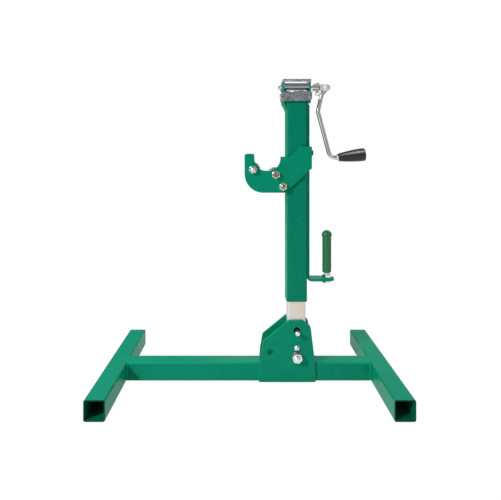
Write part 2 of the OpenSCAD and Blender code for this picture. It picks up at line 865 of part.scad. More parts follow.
// Outline of a hook plate about the mast axis, with the mouth and the bolt holes
module hook_outline(mouth_shift) {
    arm_in = -hook_reach + hook_arm_w;
    low = hook_z - hook_drop;
    tip = hook_z + hook_tip_rise;
    crown = hook_z + hook_rise;
    mouth_right = -seat_x + sqrt(mouth_r * mouth_r - hook_tip_rise * hook_tip_rise);
    toe = -outer_half - 4;
    shelf = hook_z - 28;
    crown_left = 7.5;
    tip_right = -18.5;
    arm_top = hook_z + hook_arm_rise;
    difference() {
        polygon(rounded([
            [-hook_reach, low, hook_heel_r], [toe, low, 0], [hook_back - 5.5, shelf - 4, 0],
            [hook_back, shelf, 0], [hook_back, crown, 1], [crown_left, crown, 3],
            [tip_right, tip, 3], [mouth_right, tip, 1.5], [mouth_right - 1, hook_z, 0],
            [arm_in, hook_z, 0], [arm_in, arm_top, 5], [-hook_reach, arm_top, 6]
        ]));
        for (shift = [0, mouth_shift]) translate([shift - seat_x, hook_z]) circle(r = mouth_r);
        for (i = [0, 1]) translate([roller_x[i], roller_z[i]]) circle(d = hook_bolt_d);
        translate([spacer_x, spacer_z]) circle(d = hook_bolt_d);
    }
}

module front_hook() { color(green) on_mast() slab(-hook_out, -hook_in) hook_outline(0); }

module rear_hook() { color(green) on_mast() slab(hook_in, hook_out) hook_outline(rear_mouth_shift); }

// Places a child on each of the three hook bolts
module at_hook_bolts() {
    places = [[roller_x[0], roller_z[0]], [roller_x[1], roller_z[1]], [spacer_x, spacer_z]];
    on_mast() for (p = places) translate([p.x, 0, p.y]) children();
}

module hook_bolts() {
    color(zinc) at_hook_bolts() translate([0, hook_out, 0]) rotate([90, 0, 0]) {
        ended_pin(hook_bolt_d, 2 * hook_out + hook_nut_h + hook_bolt_proud, 1);
        mirror([0, 0, 1]) hexagon(hook_nut_af, 0.65 * hook_bolt_d);
    }
}

module hook_nuts() {
    color(zinc) at_hook_bolts() translate([0, -hook_out, 0]) rotate([90, 15, 0])
        hex_nut(hook_nut_af, hook_nut_h, hook_bolt_d);
}

// Spacer tube that bears on the left of the mast
module hook_spacer() {
    color(zinc) on_mast()
        y_tube(spacer_x, spacer_z, -hook_in, hook_in, spacer_d, hook_bolt_d);
}

// Bar between the plates that bears on the flat bar of the mast, its outer side rounded
module hook_crossbar() {
    low = cross_z - cross_h / 2;
    high = cross_z + cross_h / 2;
    right = cross_x + cross_t;
    color(green) on_mast() slab(-hook_in, hook_in)
        polygon(rounded([[cross_x, low, 1], [right, low, 7], [right, high, 7], [cross_x, high, 1]]));
}

// Spindle roller with chamfered ends, on its bolt
module roller(i) {
    edge = 1.2;
    r = roller_d / 2;
    bore = hook_bolt_d / 2 + run_play;
    half = roller_len / 2;
    color(zinc) on_mast() translate([roller_x[i], 0, roller_z[i]]) rotate([-90, 0, 0])
        rotate_extrude() polygon([
            [bore, -half], [r - edge, -half], [r, -half + edge], [r, half - edge],
            [r - edge, half], [bore, half]
        ]);
}

module outer_roller() { roller(0); }

module inner_roller() { roller(1); }

left_foot();
right_foot();
crossbar();
front_plate();
rear_plate();
pivot_bolt();
pivot_nut();
pivot_washers();
keeper_stud();
lock_pin();
inner_tube();
pivot_bush();
lift_nut();
outer_tube();
carry_bar();
carry_stud();
carry_nuts();
carry_grip();
bearing_plate();
left_ear();
right_ear();
gear_guard();
guard_screws();
top_frame();
head_tie();
shaft_bushes();
thrust_bearing();
lift_screw();
crown_gear();
crank_shaft();
bevel_pinion();
shaft_cotter();
crank_hub();
hub_pin();
knuckle_pin();
crank_rod();
crank_grip();
front_hook();
rear_hook();
hook_bolts();
hook_nuts();
hook_spacer();
hook_crossbar();
outer_roller();
inner_roller();
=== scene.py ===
import json
import math

import bpy
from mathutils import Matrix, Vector


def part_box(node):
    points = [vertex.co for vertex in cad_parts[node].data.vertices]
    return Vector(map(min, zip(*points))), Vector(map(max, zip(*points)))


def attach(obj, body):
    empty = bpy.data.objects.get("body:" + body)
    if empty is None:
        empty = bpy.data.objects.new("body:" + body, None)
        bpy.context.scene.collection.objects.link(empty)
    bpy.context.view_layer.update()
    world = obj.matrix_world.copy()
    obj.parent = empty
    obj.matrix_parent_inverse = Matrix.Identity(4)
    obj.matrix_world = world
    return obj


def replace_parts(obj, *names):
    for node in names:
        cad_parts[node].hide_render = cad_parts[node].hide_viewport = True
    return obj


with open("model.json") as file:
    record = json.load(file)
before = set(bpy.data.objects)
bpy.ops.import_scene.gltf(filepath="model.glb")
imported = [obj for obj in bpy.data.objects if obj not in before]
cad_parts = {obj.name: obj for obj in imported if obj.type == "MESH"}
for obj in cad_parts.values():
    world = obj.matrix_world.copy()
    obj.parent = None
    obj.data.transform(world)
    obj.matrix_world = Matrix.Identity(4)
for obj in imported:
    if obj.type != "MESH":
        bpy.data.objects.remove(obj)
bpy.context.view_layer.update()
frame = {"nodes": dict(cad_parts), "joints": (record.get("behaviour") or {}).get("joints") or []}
nodes = frame["nodes"]
mm = 0.001


# Base: two foot tubes and a crossbar of square steel tube, saw cut and left open at the ends.
# The crossbar is butted between the feet and fillet welded all round. The whole base is
# then coated with green powder. Its edges carry a painted highlight, and on the feet a painted shade line
# instead.
class Tone:
    """A socket of a finish. Arithmetic on tones adds Math nodes."""

    def __init__(self, tree, socket=None):
        self.tree = tree
        self.socket = socket

    def add(self, kind, settings=None, sockets=None, out=0):
        """Any node: its type, its settings, what goes into its sockets, and the output that is wanted."""
        node = self.tree.nodes.new("ShaderNode" + kind)
        for name, value in (settings or {}).items():
            setattr(node, name, value)
        for name, value in (sockets or {}).items():
            if isinstance(value, Tone):
                self.tree.links.new(value.socket, node.inputs[name])
            else:
                node.inputs[name].default_value = value
        return Tone(self.tree, node.outputs[out] if node.outputs else None)

    def math(self, operation, first, second):
        return self.add("Math", {"operation": operation}, {0: first, 1: second})

    def __add__(self, other):
        return self.math("ADD", self, other)

    def __sub__(self, other):
        return self.math("SUBTRACT", self, other)

    def __rsub__(self, other):
        return self.math("SUBTRACT", other, self)

    def __mul__(self, other):
        return self.math("MULTIPLY", self, other)

    __radd__ = __add__

    def at_least(self, other):
        return self.math("MAXIMUM", self, other)

    def at_most(self, other):
        return self.math("MINIMUM", self, other)

    def clamped(self):
        return self.at_least(0).at_most(1)

    def blend(self, low, high):
        """The colour low where this tone is 0, and high where it is 1."""
        return self.add("Mix", {"data_type": "RGBA"}, {0: self, 6: low, 7: high}, out=2)

    def vector(self, operation, *sides, out=0):
        return self.add("VectorMath", {"operation": operation}, dict(enumerate(sides)), out)

    def part(self, index):
        """The X, Y or Z of a vector."""
        return self.add("SeparateXYZ", sockets={0: self}, out=index)

    def place(self):
        """Where each point of the surface lies, in the frame of the solids."""
        return self.add("TexCoord", out="Object")


def new_finish(name, constants):
    finish = bpy.data.materials.new(name)
    finish.use_nodes = True
    shader = finish.node_tree.nodes["Principled BSDF"]
    for socket, value in constants.items():
        shader.inputs[socket].default_value = value
    return finish, Tone(finish.node_tree), shader


def feed(shader, tones):
    for name, tone in tones.items():
        tone.tree.links.new(tone.socket, shader.inputs[name])


def shade(colour, share):
    return (*(share * c for c in colour), 1)


def noise(tone, scale, detail, stretch=(1, 1, 1)):
    place = tone.add("Mapping", sockets={"Vector": tone.place(), "Scale": stretch})
    return tone.add("TexNoise", sockets={"Vector": place, "Scale": scale, "Detail": detail})


def blotches(tone, scale, detail):
    """Noise spread over the whole range from 0 to 1."""
    return ((noise(tone, scale, detail) - 0.3) * 2.5).clamped()


def raised(tone, height, strength, depth=0.2 * mm):
    return tone.add("Bump", sockets={"Strength": strength, "Distance": depth, "Height": height})


def edge_mask(tone, share):
    """1 on the rounded edges, where the normal leaves the part's own axes."""
    normal = tone.add("TexCoord", out="Normal")
    square = tone.vector("MULTIPLY", normal, normal)
    largest = square.part(0).at_least(square.part(1)).at_least(square.part(2))
    return ((1 - largest) * share).at_most(1)


def sawn_ends_and_shaded_bore(tone, grain, centre, bore_half, end):
    """Where a tube along Y is darker: on its sawn ends, and less so in its bore, where the darkening is
    painted shade.
    """
    place = tone.vector("ABSOLUTE", tone.place())
    off_axis = tone.vector("ABSOLUTE", tone.vector("SUBTRACT", place, centre))
    sawn_fade = 0.4 * mm
    sawn = ((place.part(1) - end) * (1 / sawn_fade)).clamped()
    # The bore is darkened as painted shade.
    bore = tone.math("LESS_THAN", off_axis.part(0).at_least(off_axis.part(2)), bore_half)
    return (sawn * (0.7 + grain * 0.25)).at_least(bore * 0.42)


def powder_coat(name, colour, edge_painted_light=1.5, tube=None):
    """Satin powder coat, with a painted highlight or a painted shade line on its edges. On an open tube it
    is darker on the sawn ends, and its bore is darkened as painted shade.
    """
    finish, tone, shader = new_finish(name, {"Specular IOR Level": 0.055, "Coat Roughness": 0.16})
    cloud = noise(tone, 9, 3)
    patch = blotches(tone, 110, 3)
    grain = noise(tone, 420, 2)
    peel = noise(tone, 900, 1)
    body = (cloud * 0.4 + patch * 0.4 + grain * 0.2).blend(shade(colour, 0.82), shade(colour, 1.18))
    # Painted highlight along the rounded edges, or a painted shade line where the edge tone is below 1.
    body = (edge_mask(tone, 2.4) * 0.6).blend(body, shade(colour, edge_painted_light))
    if tube:
        # Darker sawn ends, and painted shade in the bore.
        body = sawn_ends_and_shaded_bore(tone, grain, *tube).blend(body, shade(colour, 0.16))
    feed(shader, {
        "Base Color": body,
        "Roughness": 0.26 + patch * 0.14 + grain * 0.06,
        "Coat Weight": cloud * 0.05,
        "Normal": raised(tone, peel, 0.09, 0.3 * mm),
    })
    return finish


def round_edges(piece, edge_width):
    edge = piece.modifiers.new("edge", "BEVEL")
    edge.width = edge_width
    edge.segments = 3
    edge.limit_method = "ANGLE"
    edge.angle_limit = math.radians(32)
    normals = piece.modifiers.new("normals", "WEIGHTED_NORMAL")
    normals.keep_sharp = True


def soften(names, finish, edge_width):
    """Rounds the edges of solids and gives them their finish."""
    for name in names:
        part = nodes[name]
        if "custom_normal" in part.data.attributes:
            part.data.attributes.remove(part.data.attributes["custom_normal"])
        part.data.shade_smooth()
        closed = part.modifiers.new("joined", "WELD")
        closed.merge_threshold = 0.01 * mm
        flat = part.modifiers.new("flat", "DECIMATE")
        flat.decimate_type = "DISSOLVE"
        flat.angle_limit = math.radians(0.3)
        round_edges(part, edge_width)
        part.data.materials.clear()
        part.data.materials.append(finish)


def add_piece(name, points, faces, finish, body, slot, edge_width=0):
    mesh = bpy.data.meshes.new(name)
    mesh.from_pydata(points, [], faces)
    mesh.shade_smooth()
    mesh.materials.append(finish)
    piece = bpy.data.objects.new(name, mesh)
    bpy.context.scene.collection.objects.link(piece)
    if edge_width:
        round_edges(piece, edge_width)
    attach(piece, body)
    return piece


def angles(count):
    """Even steps round a full turn."""
    return [2 * math.pi * k / count for k in range(count)]


def across(way):
    """Two unit vectors square to a direction."""
    first = way.orthogonal().normalized()
    return first, way.cross(first).normalized()


def ring(centre, side, rise, radius, count):
    return [centre + radius * (math.cos(a) * side + math.sin(a) * rise) for a in angles(count)]


def loft(rings, hollow=False):
    """A closed skin over rings of points: with an end face on each end, or joined round a bore."""
    count = len(rings[0])
    points = [p for ring_points in rings for p in ring_points]
    faces = []
    for r in range(len(rings) if hollow else len(rings) - 1):
        low = r * count
        high = (r + 1) % len(rings) * count
        for i in range(count):
            j = (i + 1) % count
            faces.append((low + i, low + j, high + j, high + i))
    if not hollow:
        faces.append(tuple(reversed(range(count))))
        faces.append(tuple(range(len(points) - count, len(points))))
    return points, faces


def weld_bead(name, start, end, radius, body):
    """A run of weld metal with the ripple of each pool, tapering at both ends."""
    start, end = Vector(start), Vector(end)
    way = (end - start).normalized()
    length = (end - start).length
    side, rise = across(way)
    pool_pitch = 2.6 * mm
    ring_pitch = 0.5 * mm
    steps = max(8, round(length / ring_pitch))
    rings = []
    for i in range(steps + 1):
        s = length * i / steps
        taper = min(1, 0.35 + min(s, length - s) / (2.2 * radius))
        pool = s / pool_pitch
        swell = 1 + 0.13 * abs(math.sin(math.pi * pool)) + 0.05 * math.sin(1.7 * pool)
        centre = start + way * s + side * 0.04 * radius * math.sin(0.9 * pool)
        rings.append(ring(centre, side, rise, radius * taper * swell, count=12))
    add_piece(name, *loft(rings), green_coat, body, "green_paint")


green = (0.0008, 0.25, 0.143)
green_coat = powder_coat("green_coat", green)

foot_low, foot_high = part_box("right_foot")
foot_mid = (foot_low + foot_high) / 2
bore_half = (foot_high.z - foot_low.z) / 2 - 1.5 * mm
sawn_from = foot_high.y - 0.7 * mm
# The feet get a painted shade line along their edges, and painted shade in their bores.
foot_coat = powder_coat("foot_coat", green, edge_painted_light=0.6, tube=(foot_mid, bore_half, sawn_from))
soften(["left_foot", "right_foot"], foot_coat, edge_width=0.9 * mm)
soften(["crossbar"], green_coat, edge_width=1.1 * mm)

bar_low, bar_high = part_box("crossbar")
seam_off = 0.9 * mm
seam_low = 3 * mm
seam_high = bar_high.z - 4 * mm
side_weld = 3.2 * mm
top_weld = 3.5 * mm
top_seam_z = bar_high.z - 2.6 * mm
top_front, top_rear = bar_low.y + 3 * mm, bar_high.y - 3 * mm
for side, end, inward in (("left", bar_low.x, 1), ("right", bar_high.x, -1)):
    toe = end + inward * seam_off
    for place, y in (("front", bar_low.y - seam_off), ("rear", bar_high.y + seam_off)):
        weld_bead(f"{side}_{place}_foot_weld", (toe, y, seam_low), (toe, y, seam_high), side_weld, "base")
    crown = end - inward * 2 * seam_off
    weld_bead(f"{side}_top_foot_weld", (crown, top_front, top_seam_z), (crown, top_rear, top_seam_z),
              top_weld, "base")


# Bracket: two plates cut from 6.4 mm steel, with a slanted shoulder on the left.
# They stand on both sides of the crossbar and are welded along its top and at their ends.
soften(["front_plate", "rear_plate"], green_coat, edge_width=0.9 * mm)

plate_low, plate_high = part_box("front_plate")
plate_weld = 2.6 * mm
plate_from, plate_to = plate_low.x + 9 * mm, plate_high.x - 8 * mm
end_weld = 2.4 * mm
end_from, end_to = 5 * mm, bar_high.z - 6 * mm
end_off = 0.6 * mm
plate_flare = 3.6 * mm
for place, y, out in (("front", bar_low.y, -1), ("rear", bar_high.y, 1)):
    inner_y = y - out * 1.9 * mm
    weld_bead(f"{place}_plate_top_weld", (plate_from, inner_y, top_seam_z), (plate_to, inner_y, top_seam_z),
              plate_weld, "base")
    outer_y = y + out * 0.8 * mm
    for side, x, inward in (("left", plate_low.x, 1), ("right", plate_high.x, -1)):
        weld_bead(f"{place}_plate_{side}_weld", (x - inward * end_off, outer_y, end_from),
                  (x + inward * (plate_flare - end_off), outer_y, end_to), end_weld, "base")


# Pivot: a 16 mm bolt through both plates and the mast, with its nut and two washers coloured dark as painted
# shadow round the nut.
# A dome-headed stud above it and the lock pin are of the same steel, bright zinc plated.
def zinc_plate(name, colour, roughness, stretch=(1, 1, 1), relief=0.12):
    finish, tone, shader = new_finish(name, {"Metallic": 1.0})
    cloud = noise(tone, 60, 3)
    lines = noise(tone, 300, 2, stretch)
    r, g, b = colour
    warm = (r * 1.03, g, b * 0.93, 1)
    cool = (r * 0.88, g * 0.93, b, 1)
    feed(shader, {
        "Base Color": cloud.blend(cool, warm),
        "Roughness": roughness + cloud * 0.12 + lines * 0.08,
        "Normal": raised(tone, lines, relief),
    })
    return finish


def thread_end(name, start, end, radius, pitch, finish, body):
    """The threaded end of a bolt: a helical ridge with a chamfered tip."""
    start, end = Vector(start), Vector(end)
    way = (end - start).normalized()
    length = (end - start).length
    side, rise = across(way)
    depth = 0.32 * pitch
    root = radius - 1.2 * depth
    tip = 1.2 * pitch
    rings_per_turn = 8
    steps = max(6, round(length / pitch * rings_per_turn))
    rings = []
    for i in range(steps + 1):
        s = length * i / steps
        tapered = root + max(0, length - s) * 1.2 * depth / tip
        points = []
        for a in angles(36):
            phase = (s / pitch - a / (2 * math.pi)) % 1
            ridge = radius - depth * abs(2 * phase - 1)
            points.append(start + way * s + min(ridge, tapered) * (math.cos(a) * side + math.sin(a) * rise))
        rings.append(points)
    add_piece(name, *loft(rings), finish, body, "bright_zinc")


def hex_nut(seat, way, corner, flats, height, bore):
    """Points and faces of a hexagon nut, chamfered on both faces and countersunk."""
    way = Vector(way)
    side = Vector(corner).normalized()
    rise = way.cross(side)
    round_face = 0.48 * flats
    chamfer = math.tan(math.radians(30))
    lip = 0.8 * mm
    rings = [[] for _ in range(8)]
    for angle in angles(60):
        radius = 0.5 * flats / math.cos(angle % (math.pi / 3) - math.pi / 6)
        drop = (radius - round_face) * chamfer
        out = math.cos(angle) * side + math.sin(angle) * rise
        profile = ((bore + lip, 0), (round_face, 0), (radius, drop), (radius, height - drop),
                   (round_face, height), (bore + lip, height), (bore, height - lip), (bore, lip))
        for points, (r, z) in zip(rings, profile):
            points.append(Vector(seat) + out * r + way * z)
    return loft(rings, hollow=True)


def tilted(degrees):
    """A direction square to Y, turned from +X towards +Z."""
    return math.cos(math.radians(degrees)), 0, math.sin(math.radians(degrees))


bright_zinc = zinc_plate("bright_zinc", (0.83, 0.86, 0.85), 0.16)
# The washers are coloured dark so that they read as painted shadow round the nut.
dull_zinc = zinc_plate("dull_zinc", (0.2, 0.23, 0.22), 0.34)
soften(["pivot_bolt"], bright_zinc, edge_width=0.35 * mm)
soften(["pivot_washers"], dull_zinc, edge_width=0.35 * mm)
soften(["keeper_stud", "lock_pin"], bright_zinc, edge_width=0.5 * mm)

front = (0, -1, 0)
nut_edge = 0.25 * mm
thread_lap = 3 * mm
thread_proud = 0.2 * mm
pivot_flats = 24 * mm
pivot_bore = 8 * mm
pivot_thread = 8.15 * mm
pivot_pitch = 2 * mm
nut_low, nut_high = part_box("pivot_nut")
bolt_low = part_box("pivot_bolt")[0]
nut_mid = (nut_low + nut_high) / 2
nut = hex_nut((nut_mid.x, nut_high.y, nut_mid.z), front, tilted(-12), pivot_flats, nut_high.y - nut_low.y,
              pivot_bore)
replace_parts(add_piece("pivot_hex", *nut, bright_zinc, "base", "bright_zinc", nut_edge), "pivot_nut")
thread_end("pivot_thread", (nut_mid.x, nut_low.y + thread_lap, nut_mid.z),
           (nut_mid.x, bolt_low.y - thread_proud, nut_mid.z), pivot_thread, pivot_pitch, bright_zinc, "base")


# Inner mast tube: drawn square tube, zinc plated and left bare so that it slides.
# A cross sleeve for the pivot bolt and the lift nut are pressed into it.
def tube_with_window_shade(name, colour, blush_colour, window_shade_colour, hole):
    """Drawn tube with lines along it, and a ring of painted shade round where the lock pin enters, darkening
    the tube seen through the window of the plate.
    """
    finish, tone, shader = new_finish(name, {"Metallic": 1.0})
    cloud = noise(tone, 60, 3)
    lines = noise(tone, 300, 2, (6, 6, 0.12))
    away = tone.vector("MULTIPLY", tone.vector("SUBTRACT", tone.place(), hole), (1, 0, 1))
    away = tone.vector("LENGTH", away, out="Value")
    # Painted shade: a dark ring round the lock hole darkens the tube seen through the plate's window.
    window_shade = (1.9 - (away + cloud * 0.004) * 90).clamped()
    blush = ((noise(tone, 26, 2, (1, 1, 0.6)) - 0.42).at_least(0) * 3.2).at_most(0.8)
    clean = (cloud * 0.6 + lines * 0.4).blend(shade(colour, 0.95), shade(colour, 1.04))
    feed(shader, {
        "Base Color": window_shade.blend(blush.blend(clean, (*blush_colour, 1)), (*window_shade_colour, 1)),
        "Roughness": 0.36 + cloud * 0.12 + lines * 0.08,
        "Normal": raised(tone, lines, 0.12),
    })
    return finish


def machined_steel(name, colour, stretch=(1, 1, 1)):
    finish, tone, shader = new_finish(name, {"Metallic": 1.0})
    cloud = noise(tone, 40, 3)
    lines = noise(tone, 240, 3, stretch)
    feed(shader, {
        "Base Color": (cloud * 0.5 + lines * 0.5).blend(shade(colour, 0.72), shade(colour, 1.12)),
        "Roughness": 0.26 + lines * 0.2,
        "Normal": raised(tone, lines, 0.2),
    })
    return finish


pin_low, pin_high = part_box("lock_pin")
lock_hole = ((pin_low.x + pin_high.x) / 2, 0, (pin_low.z + pin_high.z) / 2)
tube_zinc = (0.78, 0.75, 0.7)
tube_blush = (0.84, 0.68, 0.58)
# Colour of the painted shade round the lock hole.
tube_window_shade = (0.006, 0.05, 0.034)
pale_zinc = tube_with_window_shade("pale_zinc", tube_zinc, tube_blush, tube_window_shade, lock_hole)
soften(["inner_tube"], pale_zinc, edge_width=0.4 * mm)

plain_steel = machined_steel("plain_steel", (0.4, 0.41, 0.43))
soften(["pivot_bush", "lift_nut"], plain_steel, edge_width=0.3 * mm)


# Outer mast tube: square steel tube, coated green, that slides over the inner one.
# The flat bar stitch welded down its right side bends out at the foot into the arm of the carry grip.
mast_coat = powder_coat("mast_coat", [0.85 * c for c in green])
soften(["outer_tube"], mast_coat, edge_width=0.9 * mm)
soften(["carry_bar"], green_coat, edge_width=0.9 * mm)

mast_low, mast_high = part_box("outer_tube")
flat_low, flat_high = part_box("carry_bar")
stitch_rows = 5
stitch_length = 26 * mm
stitch_weld = 2.5 * mm
stitch_x = mast_high.x + 0.8 * mm
stitch_off = 0.6 * mm
first_stitch = flat_low.z + 40 * mm
last_stitch = flat_high.z - stitch_length
for row in range(stitch_rows):
    z = first_stitch + (last_stitch - first_stitch) * row / (stitch_rows - 1)
    for place, y in (("front", flat_low.y - stitch_off), ("rear", flat_high.y + stitch_off)):
        weld_bead(f"{place}_bar_weld_{row + 1}", (stitch_x, y, z), (stitch_x, y, z + stitch_length),
                  stitch_weld, "outer_mast")


# Carry grip: a moulded green plastic handle screwed on a zinc plated stud.
# A nut above and a thinner one below clamp the stud in the arm.
def moulded_plastic(name, colour, roughness, gloss=0.5):
    finish, tone, shader = new_finish(name, {"Specular IOR Level": gloss})
    cloud = noise(tone, 35, 3)
    grain = noise(tone, 700, 2)
    feed(shader, {
        "Base Color": (cloud * 0.7 + grain * 0.3).blend(shade(colour, 0.85), shade(colour, 1.12)),
        "Roughness": roughness + cloud * 0.1 + grain * 0.08,
        "Normal": raised(tone, grain, 0.04),
    })
    return finish


grip_green = moulded_plastic("grip_green", (0.014, 0.165, 0.058), 0.22, 0.32)
soften(["carry_grip"], grip_green, edge_width=0.4 * mm)
soften(["carry_stud"], bright_zinc, edge_width=0.3 * mm)

stud_low, stud_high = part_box("carry_stud")
stud_mid = (stud_low + stud_high) / 2
lower_nut, upper_nut = (corner.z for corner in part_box("carry_nuts"))
nut_turn = math.radians(8)
nut_corner = (math.cos(nut_turn), math.sin(nut_turn), 0)
carry_flats = 24 * mm
m12_bore = 6 * mm
m12_thread = 6.1 * mm
m12_pitch = 1.75 * mm
carry_height = 9 * mm
jam_height = 6.6 * mm
for name, seat, height in (("carry_hex", upper_nut - carry_height, carry_height),
                           ("carry_jam_nut", lower_nut, jam_height)):
    nut = hex_nut((stud_mid.x, stud_mid.y, seat), (0, 0, 1), nut_corner, carry_flats, height, m12_bore)
    piece = add_piece(name, *nut, bright_zinc, "outer_mast", "bright_zinc", nut_edge)
    if name == "carry_hex":
        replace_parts(piece, "carry_nuts")
stud_thread = (stud_mid.x, stud_mid.y, lower_nut + 2 * mm)
stud_tip = (stud_mid.x, stud_mid.y, stud_low.z - thread_proud)
thread_end("carry_thread", stud_thread, stud_tip, m12_thread, m12_pitch, bright_zinc, "outer_mast")


# Head: a bearing plate and two ears of green coated steel, welded on top of the mast.
# A band of zinc plated sheet guards the gears and a frame of sheet lies on the ears. A zinc
# plated round bar ties the ears together in front of the gears.
def spangled_sheet(name, colour):
    """Galvanised sheet: crystals of zinc in slightly different greys."""
    finish, tone, shader = new_finish(name, {"Metallic": 1.0})
    crystal = tone.add("TexVoronoi", sockets={"Vector": tone.place(), "Scale": 330.0, "Randomness": 1.0},
                       out="Color").part(0)
    cloud = blotches(tone, 130, 4)
    grain = noise(tone, 800, 2)
    spangle = crystal * 0.3 + cloud * 0.5 + grain * 0.2
    feed(shader, {
        "Base Color": spangle.blend(shade(colour, 0.58), shade(colour, 1.45)),
        "Roughness": 0.22 + crystal * 0.2 + cloud * 0.08,
        "Normal": raised(tone, grain, 0.08),
    })
    return finish


sheet_zinc = spangled_sheet("sheet_zinc", (0.39, 0.42, 0.45))
frame_zinc = spangled_sheet("frame_zinc", (0.6, 0.61, 0.62))
tie_zinc = zinc_plate("tie_zinc", (0.41, 0.47, 0.54), 0.22, (0.1, 5, 5))
soften(["bearing_plate", "left_ear", "right_ear"], green_coat, edge_width=0.7 * mm)
soften(["gear_guard"], sheet_zinc, edge_width=0.5 * mm)
soften(["top_frame"], frame_zinc, edge_width=0.5 * mm)
soften(["head_tie"], tie_zinc, edge_width=0.4 * mm)
soften(["guard_screws"], bright_zinc, edge_width=0.3 * mm)
soften(["shaft_bushes", "thrust_bearing"], plain_steel, edge_width=0.25 * mm)

ear_weld = 2 * mm
ear_seam_out = 0.8 * mm
ear_seam_drop = 0.6 * mm
ear_front, ear_rear = mast_low.y + 8 * mm, mast_high.y - 8 * mm
for side, x in (("left", mast_low.x - ear_seam_out), ("right", mast_high.x + ear_seam_out)):
    seam_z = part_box(f"{side}_ear")[0].z - ear_seam_drop
    weld_bead(f"{side}_ear_weld", (x, ear_front, seam_z), (x, ear_rear, seam_z), ear_weld, "outer_mast")


# Lift gear: the screw turns in the bearing plate under a crown gear, which meshes with a
# bevel pinion on the crank shaft. All are machined steel, and only the shaft and the split
# pin that holds it are zinc plated.
gear_steel = machined_steel("gear_steel", (0.68, 0.68, 0.67))
soften(["lift_screw"], plain_steel, edge_width=0.3 * mm)
soften(["crown_gear", "bevel_pinion"], gear_steel, edge_width=0.12 * mm)
soften(["crank_shaft"], bright_zinc, edge_width=0.3 * mm)
soften(["shaft_cotter"], bright_zinc, edge_width=0.25 * mm)


# Crank: a yoke pinned on the shaft end, and a bent bar that folds on the knuckle rivet.
# The black plastic grip turns on the end of the bar behind a bright ferrule.
def bent_path(points, bend):
    """A line through points in the plane of X and Z, with an arc at each inner point."""
    path = [points[0]]
    for before, corner, after in zip(points, points[1:], points[2:]):
        way = (corner - before).normalized()
        onward = (after - corner).normalized()
        turn = way.angle(onward)
        inward = (onward - way * way.dot(onward)).normalized()
        start = corner - way * bend * math.tan(turn / 2)
        steps = max(4, round(math.degrees(turn) / 3))
        for i in range(steps + 1):
            a = turn * i / steps
            path.append(start + bend * (math.sin(a) * way + (1 - math.cos(a)) * inward))
    path.append(points[-1])
    return path


def joined(*meshes):
    """One list of points and one of faces from several."""
    points, faces = [], []
    for more_points, more_faces in meshes:
        faces += [tuple(i + len(points) for i in face) for face in more_faces]
        points += more_points
    return points, faces


def lathe(name, profile, start, way, finish, body, slot, sides=48):
    """A turned piece: a profile of radius and distance, turned about an axis from its start."""
    side, rise = across(way)
    rings = [ring(start + way * z, side, rise, r, sides) for r, z in profile]
    return add_piece(name, *loft(rings), finish, body, slot)


def in_mm(profile):
    return [(r * mm, z * mm) for r, z in profile]


def joint(name):
    return next(j for j in frame["joints"] if j["name"] == name)


crank_zinc = zinc_plate("crank_zinc", (0.66, 0.65, 0.65), 0.12, relief=0.02)
hub_zinc = zinc_plate("hub_zinc", (0.93, 0.9, 0.86), 0.42)
rivet_zinc = zinc_plate("rivet_zinc", (0.7, 0.7, 0.76), 0.5)
grip_black = moulded_plastic("grip_black", (0.006, 0.006, 0.007), 0.27)
soften(["crank_hub"], hub_zinc, edge_width=0.8 * mm)
soften(["hub_pin"], plain_steel, edge_width=0.25 * mm)

knuckle = Vector(joint("crank_fold")["pos_m"])
to_right, to_back, upward = Vector((1, 0, 0)), Vector((0, 1, 0)), Vector((0, 0, 1))
bar_radius = 6 * mm
bar_bend = 20 * mm
eye_half = 4.5 * mm
eye_radius = 8.25 * mm
eye_bore = 4 * mm
eye_edge = 0.6 * mm
flat_end = 9 * mm
flat_fade = 10 * mm
bar_corners = [(-1.5, -4), (-14, -20), (-24, -65), (10.5, -196), (33, -193.397)]
bar_path = bent_path([knuckle + Vector((x * mm, 0, z * mm)) for x, z in bar_corners], bar_bend)
bar_rings = []
for i, point in enumerate(bar_path):
    way = (bar_path[min(i + 1, len(bar_path) - 1)] - bar_path[max(i - 1, 0)]).normalized()
    rise = way.cross(to_back)
    below_eye = (knuckle.z - point.z - flat_end) / flat_fade
    half = eye_half + (bar_radius - eye_half) * min(1, max(0, below_eye))
    bar_rings.append([
        point + to_back * half * math.cos(a) + rise * bar_radius * math.sin(a) for a in angles(40)
    ])
eye_profile = [(eye_bore, -eye_half), (eye_radius - eye_edge, -eye_half), (eye_radius, eye_edge - eye_half),
               (eye_radius, eye_half - eye_edge), (eye_radius - eye_edge, eye_half), (eye_bore, eye_half)]
eye_rings = [ring(knuckle + to_back * y, to_right, upward, r, 48) for r, y in eye_profile]
crank_bar = add_piece("crank_bar", *joined(loft(bar_rings), loft(eye_rings, hollow=True)), crank_zinc,
                      "crank_arm", "crank_zinc")
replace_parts(crank_bar, "crank_rod")

pin_front, pin_rear = (corner.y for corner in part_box("knuckle_pin"))
pin_length = pin_rear - pin_front
tail_seat = pin_length - 2.4 * mm
tail_rim = pin_length - 0.9 * mm
tail_radius = 6 * mm
shank_radius = 4 * mm
head_radius = 8 * mm
head_crown = 1.5 * mm
dome_angle = 0.38
dome_steps = 8
pin_profile = []
for i in range(1, dome_steps + 1):
    a = dome_angle * i / dome_steps
    pin_profile.append((head_radius * math.sin(a) / math.sin(dome_angle),
                        head_crown * (1 - math.cos(a)) / (1 - math.cos(dome_angle))))
pin_profile += in_mm([(8.5, 2.1), (8.75, 2.5), (8.6, 3), (4, 3)])
pin_profile += [(shank_radius, tail_seat), (tail_radius, tail_seat), (tail_radius, tail_rim),
                (4.4 * mm, pin_length)]
knuckle_rivet = lathe("knuckle_rivet", pin_profile, Vector((knuckle.x, pin_front, knuckle.z)), to_back,
                      rivet_zinc, "crank_arm", "crank_zinc")
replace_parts(knuckle_rivet, "knuckle_pin")

